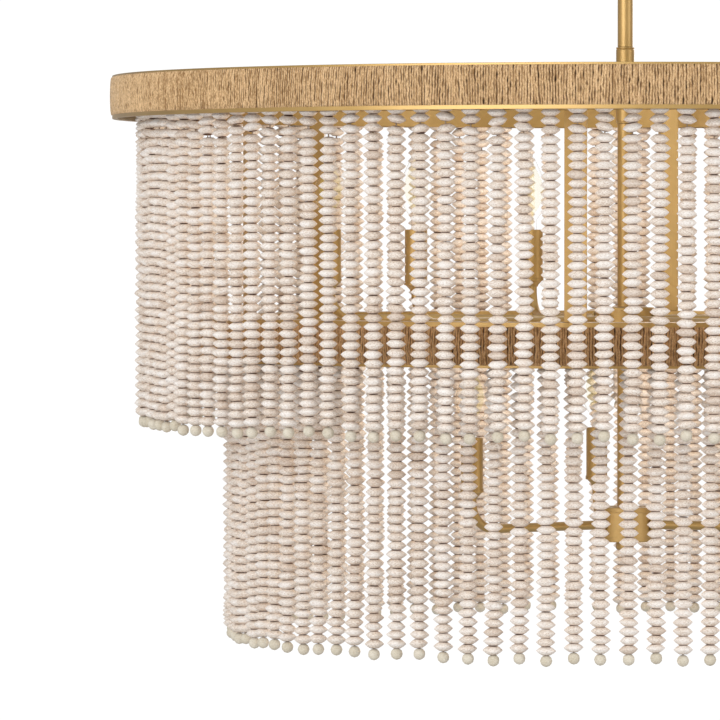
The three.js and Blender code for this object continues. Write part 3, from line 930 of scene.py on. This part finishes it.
def strand_rail(node, radius, first, sweep):
    """An arc of flat bar under the channel's top, which the strands hang from."""
    high = top(node)
    inner = radius - BEAD_RADIUS - RAIL_LIP
    outer = outer_radius(node)
    trim = SEAT / radius
    bm = bmesh.new()
    corners = [(inner, high - RAIL_THICKNESS), (outer, high - RAIL_THICKNESS), (outer, high), (inner, high)]
    points = [bm.verts.new((0, -out, height)) for out, height in corners]
    face = bm.faces.new(points)
    bmesh.ops.rotate(bm, verts=bm.verts, matrix=Matrix.Rotation(first + trim, 3, "Z"))
    geom = [face, *face.edges, *face.verts]
    bmesh.ops.spin(
        bm, geom=geom, axis=(0, 0, 1), cent=(0, 0, 0), angle=sweep - 2 * trim, steps=RAIL_STEPS
    )
    bmesh.ops.recalc_face_normals(bm, faces=bm.faces)
    round_edges(bm, EDGE)
    return bm


def one_strand(place, low, high, mouth, bead, ball):
    """
    The beads, the ball and the cord of a strand, the beads from its bottom up.
    They sit snugly in even rows up to the hoop's mouth and hang loosely inside it.
    """
    low += rng.uniform(0, STRAND_LIFT)
    ball_middle = low + BALL_RADIUS
    lean = leaning(rng.gauss(0, STRAND_LEAN), rng.gauss(0, STRAND_LEAN))
    hang = place @ lifted(high) @ lean @ lifted(-high)
    height = ball_middle + BALL_TO_BEAD + rng.uniform(0, BALL_GAP)
    snug = round((mouth - height) / BEAD_PITCH - LOOSE_ROWS)
    shares = [1 + rng.gauss(0, BEAD_PITCH_SHARE) for _ in range(snug)]
    level = (mouth - LOOSE_ROWS * BEAD_PITCH + rng.gauss(0, ROW_SHIFT) - height) / sum(shares)
    pitches = [share * level for share in shares]
    opening = rng.randint(1, LOOSE_BEADS)
    loose = 0
    beads = []
    while height < high - RAIL_THICKNESS - BEAD_PITCH / 2:
        size = 1 + rng.gauss(0, BEAD_SIZE_SHARE)
        tilt = (rng.gauss(0, BEAD_TILT), rng.gauss(0, BEAD_TILT))
        held = bool(pitches)
        pitch = pitches.pop() if held else BEAD_PITCH
        if not held:
            loose += 1
            size = min(size, 1)
            if loose == opening:
                height += rng.uniform(*LOOSE_GAP_SHARES) * LOOSE_GAP
            if loose <= LOOSE_BEADS:
                tilt = (rng.uniform(-LOOSE_TILT, LOOSE_TILT) / 2, rng.uniform(-LOOSE_TILT, LOOSE_TILT))
        spot = Matrix.Translation((rng.gauss(0, BEAD_SHIFT), rng.gauss(0, BEAD_SHIFT), height))
        turn = Matrix.Rotation(rng.uniform(0, TURN), 4, "Z")
        shape = Matrix.Diagonal((size, size, pitch / BEAD_PITCH, 1))
        beads.append((bead, hang @ spot @ leaning(*tilt) @ turn @ shape, rng.random()))
        height += pitch
    turned_ball = hang @ lifted(ball_middle) @ Matrix.Rotation(rng.uniform(0, TURN), 4, "Z")
    knot = (ball, turned_ball, rng.random() * BALL_TONE_SHARE)
    return beads, knot, hang @ lifted((ball_middle + high) / 2)


def strands(tier):
    """All the strands of a tier, gathered rail by rail, and the rails that they hang from."""
    bead, ball = bead_mesh(), ball_mesh()
    mouth = bottom(f"{tier}_hoop_channel")
    pitch = TURN / STRANDS[tier]
    sweep = TURN / RAILS[tier]
    for rail in range(1, RAILS[tier] + 1):
        node = f"{tier}_strands_{rail}"
        low, high = bottom(node), top(node)
        radius = inner_radius(node) + RAIL_LIP + BEAD_RADIUS
        first = azimuth_of(f"{tier}_strands_1") - sweep / 2 + sweep * (rail - 1)
        cord_shape = cord_mesh(high - low - BALL_RADIUS)
        beads, balls, cords = [], [], []
        for index in range(STRANDS[tier] // RAILS[tier]):
            place = at_azimuth(first + pitch * (index + 0.5)) @ Matrix.Translation((0, -radius, 0))
            own, knot, middle = one_strand(place, low, high - SEAT, mouth, bead, ball)
            beads += own
            balls.append(knot)
            cords.append((cord_shape, middle, CORD_TONE))
        piece(f"{tier}_beads_{rail}", scattered(beads), bead_wood, "hanging_frame", [node], False)
        piece(f"{tier}_balls_{rail}", scattered(balls), ball_wood, "hanging_frame", [node], False)
        piece(f"{tier}_cords_{rail}", scattered(cords), cord, "hanging_frame", [node], False)
        brass(f"{tier}_rail_{rail}", strand_rail(node, radius, first, sweep), [node], brass_sheet)


# Frame spider


def frame_spider():
    """A hub with flat spokes to the upper hoop, each with a flat strap down to the lower hoop."""
    high = top("frame_spider")
    low = high - SPOKE_HEIGHT
    bore = outer_radius("stem_coupling") + SEAT
    rim = bore + HUB_WALL
    end = inner_radius("upper_hoop_channel")
    strap = outer_radius("lower_hoop_twine") - STRAP_INSET
    half_wide, half_thick = 11 * MM, 1.5 * MM
    weld = 2 * MM
    foot = top("lower_hoop_channel")
    strap_low, strap_high = (-half_wide, -strap - half_thick, foot), (half_wide, -strap + half_thick, high)
    shapes = [pipe(rim, bore, low, high, HUB_STEPS)]
    for index in range(SPOKES):
        place = at_azimuth(SPOKE_AZIMUTH + TURN * index / SPOKES)
        shapes.append(bar((-half_thick, -end, low), (half_thick, -rim + weld, high), place))
        shapes.append(bar(strap_low, strap_high, place))
    brass("spider_flat_bars", gathered(shapes), ["frame_spider"], brass_drawn)


# Lights


def arm_path(start, reach, rise, bend):
    """Out along -Y from the hub, round a bend and up to the cup."""
    points = [Vector((0, -start, 0)), Vector((0, -(reach - bend), 0))]
    for index in range(1, BEND_STEPS + 1):
        angle = QUARTER * index / BEND_STEPS
        points.append(Vector((0, -(reach - bend + bend * math.sin(angle)), bend - bend * math.cos(angle))))
    points.append(Vector((0, -reach, rise)))
    return points


def boss_shape(start):
    """The turned boss that meets the hub."""
    radius, length, slope = 8.8 * MM, 3 * MM, 1.6 * MM
    boss = spun([
        (0, start), (radius, start), (radius, start + length / 2), (radius - slope, start + length),
        (0, start + length),
    ], CANDLE_STEPS, closed=False)
    return moved(boss, Matrix.Rotation(QUARTER, 4, "X"))


def cup_shape(tube, base, rise):
    """The turned cup under the candle, with a collar round the tube's end."""
    radius, neck, rim = 12 * MM, 6.2 * MM, 2.5 * MM
    collar, collar_height, flare, lip = 1 * MM, 2 * MM, 1.5 * MM, 0.4 * MM
    return spun([
        (0, base - collar_height), (tube + collar, base - collar_height), (neck, base),
        (radius - flare, rise - rim), (radius, rise - rim), (radius, rise - lip), (radius - lip, rise),
        (0, rise),
    ], CANDLE_STEPS, closed=False, edge=FINE_EDGE)


def arm_shape(reach, hub, rise):
    """A bent tube with its boss at the hub and its cup under the candle."""
    tube, bend = 4.7 * MM, 28 * MM
    cup_height, overlap = 7 * MM, 1 * MM
    base = rise - cup_height
    path = arm_path(hub, reach, base + overlap, bend)
    cup = moved(cup_shape(tube, base, rise), Matrix.Translation((0, -reach, 0)))
    return gathered([swept(path, tube, TUBE_SIDES), boss_shape(hub), cup])


def bulb_profile(height):
    """The outline of the glass, from inside the sleeve to its drawn-out tip."""
    widest_share = 0.42
    up_and_out_shares = [
        (0.10, 0.42), (0.22, 0.80), (0.34, 0.98), (widest_share, 1.00), (0.52, 0.94),
        (0.64, 0.76), (0.75, 0.55), (0.85, 0.36), (0.93, 0.21), (0.98, 0.10),
    ]
    body = height - BULB_NECK_LENGTH
    points = [(0, -BULB_SEAT), (BULB_NECK, -BULB_SEAT), (BULB_NECK, BULB_NECK_LENGTH)]
    for up, out in up_and_out_shares:
        swelling = BULB_NECK + (BULB_RADIUS - BULB_NECK) * out
        radius = swelling if up < widest_share else BULB_RADIUS * out
        points.append((radius, BULB_NECK_LENGTH + up * body))
    return [*points, (0, height)]


def sleeve_shape(low, high):
    """A thin tube with a flange round its foot."""
    bore = SLEEVE_RADIUS - SLEEVE_WALL
    flange, flange_height = 0.7 * MM, 1.2 * MM
    tube = pipe(SLEEVE_RADIUS, bore, low, high, CANDLE_STEPS, FINE_EDGE)
    foot = pipe(SLEEVE_RADIUS + flange, bore, 0, low + flange_height, CANDLE_STEPS, FINE_EDGE)
    return gathered([tube, foot])


def holder_shape(low, high):
    """The moulded lamp holder, with its socket open at the top."""
    mouth, depth, radius = 6.4 * MM, 25 * MM, 9.8 * MM
    slope, lip = 1 * MM, 0.6 * MM
    return spun([
        (0, low), (radius - slope, low), (radius, low + slope), (radius, high - slope),
        (radius - slope, high), (mouth + lip, high), (mouth, high - lip), (mouth, high - depth),
        (0, high - depth),
    ], CANDLE_STEPS, closed=False, edge=FINE_EDGE)


def candle(tier, index, place):
    """A sleeve, the lamp holder in it and the bulb in that, about the candle's own axis."""
    base = place.translation.z
    sleeve = f"{tier}_candle_sleeve_{index}"
    low, high = bottom(sleeve) - base, top(sleeve) - base
    brass(f"{sleeve}_drawn", moved(sleeve_shape(low, high), place), [sleeve], brass_drawn)
    holder = f"{tier}_lamp_holder_{index}"
    moulded = moved(holder_shape(bottom(holder) - base, top(holder) - base), place)
    piece(f"{holder}_moulded", moulded, phenolic, "hanging_frame", [holder])
    bulb(f"{tier}_bulb_{index}", f"bulb_{tier}_{index}", place, high)


def screw_base(low, high):
    """A rolled screw thread with a contact button under it."""
    radius, crest = 5.35 * MM, 0.45 * MM
    button, button_height = 2.4 * MM, 0.6 * MM
    insulator, slope = 2.4 * MM, 1.2 * MM
    skirt, rim = 4 * MM, 2 * MM
    threads, steps = 6, 4
    start = low + insulator + button_height
    pitch = (high - start - skirt) / threads
    points = [(0, low), (button, low), (button, low + button_height), (radius - slope, low + insulator)]
    for index in range(threads * steps + 1):
        wave = math.sin(TURN * index / steps)
        points.append((radius + crest * wave, start + pitch * index / steps))
    points += [(radius + crest, high - rim), (radius + crest, high), (0, high)]
    return spun(points, CANDLE_STEPS, closed=False, edge=0)


def bulb(node, body, place, collar):
    """A bulb whose glass stands on the sleeve's top, its screw base out of sight in the lamp holder."""
    base = place.translation.z
    height = top(node) - base - collar
    raised = place @ lifted(collar)
    shell = spun(bulb_profile(height), CANDLE_STEPS, closed=False, edge=0)
    piece(f"{node}_glass", moved(shell, raised), glass, body, [node], False)
    thread = moved(screw_base(bottom(node) - base, collar - BULB_SEAT), place)
    piece(f"{node}_screw_base", thread, brass_turned, body, [node])
    piece(f"{node}_filament", moved(filament_shape(height), raised), filament, body, [node], False)
    piece(f"{node}_halo", moved(halo_shape(height), raised), halo, body, [node], False)


def heated(bm, low, high):
    """Adds the heat attribute, 1 in the middle of the lit heights and 0 at their ends."""
    heat = bm.verts.layers.float.new("heat")
    for vert in bm.verts:
        share = (vert.co.z - low) / (high - low)
        vert[heat] = max(0.0, math.sin(math.pi * min(max(share, 0), 1)))
    return bm


def filament_shape(height):
    """Four lit rods that lean in as they rise, on a wire stem."""
    foot, low, high = 0.02 * height, 0.26 * height, 0.80 * height
    cool = 0.1 * height
    rods, circle, rod = 4, 2.6 * MM, 0.6 * MM
    twist, gathered_share = 1, 0.5
    stem, stem_bore = 1.6 * MM, 0.6 * MM
    shapes = []
    for index in range(rods):
        angle = TURN * index / rods
        lower_end = Vector((circle * math.cos(angle), circle * math.sin(angle), low))
        angle += twist
        reach = circle * gathered_share
        upper_end = Vector((reach * math.cos(angle), reach * math.sin(angle), high))
        shapes.append(swept([lower_end, (lower_end + upper_end) / 2, upper_end], rod, ROD_SIDES))
    shapes.append(pipe(stem, stem_bore, foot, low, WIRE_STEPS, edge=0))
    return heated(gathered(shapes), low - cool, high)


def halo_shape(height):
    """The soft light round the filament: a spindle, drawn out more at its top."""
    low, high = 0.19 * height, 0.93 * height
    widest = 12 * MM
    rings = 14
    drawn_power, slim_power = 0.85, 1.15
    points = []
    for index in range(1, rings):
        share = index / rings
        swell = math.sin(math.pi * share ** drawn_power) ** slim_power
        points.append((widest * swell, low + (high - low) * share))
    return heated(spun([(0, low), *points, (0, high)], HALO_STEPS, closed=False, edge=0), low, high)


def lights():
    """The arms round each hub, with their candles and the light that their lamps give."""
    for tier, count in LIGHTS.items():
        hub = f"{tier}_hub"
        axis = (top(hub) + bottom(hub)) / 2
        sleeve_low, sleeve_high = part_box(f"{tier}_candle_sleeve_1")
        middle = (sleeve_low + sleeve_high) / 2
        reach = math.hypot(middle.x, middle.y)
        rise = sleeve_low.z - SEAT - axis
        pattern = kept(f"{tier}_arm", arm_shape(reach, outer_radius(hub), rise))
        for index in range(1, count + 1):
            azimuth = azimuth_of(f"{tier}_candle_sleeve_{index}")
            arm = bmesh.new()
            arm.from_mesh(pattern)
            turned = moved(arm, at_azimuth(azimuth, axis))
            brass(f"{tier}_arm_{index}_bent", turned, [f"{tier}_arm_{index}"], brass_drawn)
            place = at_azimuth(azimuth, axis + rise) @ Matrix.Translation((0, -reach, 0))
            candle(tier, index, place)
            low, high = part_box(f"{tier}_bulb_{index}")
            middle = (place.translation.x, place.translation.y, high.z - LAMP_DROP_SHARE * (high.z - low.z))
            lamp_light(f"{tier}_glow_{index}", f"bulb_{tier}_{index}", middle, GLOW)
            lamp_light(f"{tier}_gleam_{index}", f"bulb_{tier}_{index}", middle, GLEAM)


def lamp_light(name, body, place, kind):
    """A lamp's own light: its glow on the beads round it, or its gleam on the brass."""
    light = bpy.data.lights.new(name, "POINT")
    light.color = kind["colour"]
    light.energy = kind["watts"]
    light.shadow_soft_size = kind["radius"]
    lamp = bpy.data.objects.new(name, light)
    bpy.context.scene.collection.objects.link(lamp)
    lamp.location = place
    lamp.visible_camera = False
    lamp.visible_diffuse = kind is GLOW
    lamp.visible_glossy = kind is GLEAM
    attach(lamp, body)


# Studio


def backdrop():
    """A pale floor that throws light up at the chandelier and isn't seen itself."""
    finish = Finish("studio_floor", Roughness=0.9)
    speckle = finish.noise(3, detail=2)
    finish.surface(Base_Color=finish.mix(speckle, colour(0.50, 0.49, 0.48), colour(0.54, 0.53, 0.52)))
    bm = bmesh.new()
    bmesh.ops.create_grid(bm, x_segments=2, y_segments=2, size=FLOOR_HALF_WIDTH)
    bmesh.ops.translate(bm, verts=bm.verts, vec=(0, 0, -FLOOR_DEPTH))
    mesh = kept("floor", bm)
    mesh.materials.append(finish.material)
    floor = bpy.data.objects.new("floor", mesh)
    bpy.context.scene.collection.objects.link(floor)
    floor.visible_camera = False


def white_world():
    """White to the eye. It lights the chandelier mostly from the front and from above."""
    world = bpy.data.worlds.new("studio")
    bpy.context.scene.world = world
    world.use_nodes = True
    sky = Shading(world.node_tree)
    away, up = sky.split(sky.add("ShaderNodeTexCoord", output="Generated"))[1:]
    level = 0.43 + 0.24 * (0 - away).between(-0.7, 0.1) + 0.10 * up.between(-0.3, 1)
    soft = sky.add("ShaderNodeBackground", {}, {"Color": colour(1, 0.985, 0.965), "Strength": level})
    plain = sky.add("ShaderNodeBackground", {}, {"Color": colour(1, 1, 1), "Strength": CLEAN_WHITE})
    eye = sky.add("ShaderNodeLightPath", output="Is Camera Ray")
    seen = sky.add("ShaderNodeMixShader", {}, {0: eye, 1: soft, 2: plain})
    sky.add("ShaderNodeOutputWorld", {}, {"Surface": seen}, output=None)


def soft_box(name, place, size, watts, tint):
    light = bpy.data.lights.new(name, "AREA")
    light.shape = "RECTANGLE"
    light.size, light.size_y = size
    light.energy = watts
    light.color = tint
    box = bpy.data.objects.new(name, light)
    bpy.context.scene.collection.objects.link(box)
    box.location = place
    box.rotation_euler = (Vector(SOFT_BOX_AIM) - Vector(place)).to_track_quat("-Z", "Y").to_euler()
    box.visible_camera = False


def studio():
    backdrop()
    white_world()
    for name, settings in SOFT_BOXES.items():
        soft_box(name, **settings)
    bpy.context.scene.view_settings.view_transform = "Standard"


def camera():
    """Level with the upper bulbs, a little below the hoop, and aimed left of the stem."""
    eye = Vector((0, -EYE_DISTANCE, top("stem_coupling") - EYE_DROP))
    aim = Vector((-AIM_LEFT, 0, eye.z - AIM_DROP))
    lens = bpy.data.cameras.new("camera")
    lens.lens = LENS_MM
    lens.sensor_width = SENSOR_MM
    lens.clip_start, lens.clip_end = CLIP_NEAR, CLIP_FAR
    view = bpy.data.objects.new("camera", lens)
    bpy.context.scene.collection.objects.link(view)
    view.location = eye
    view.rotation_euler = (aim - eye).to_track_quat("-Z", "Y").to_euler()
    bpy.context.scene.camera = view


camera()
ceiling_fitting()
stem_line()
hoops()
for tier_name in RAILS:
    strands(tier_name)
frame_spider()
lights()
studio()
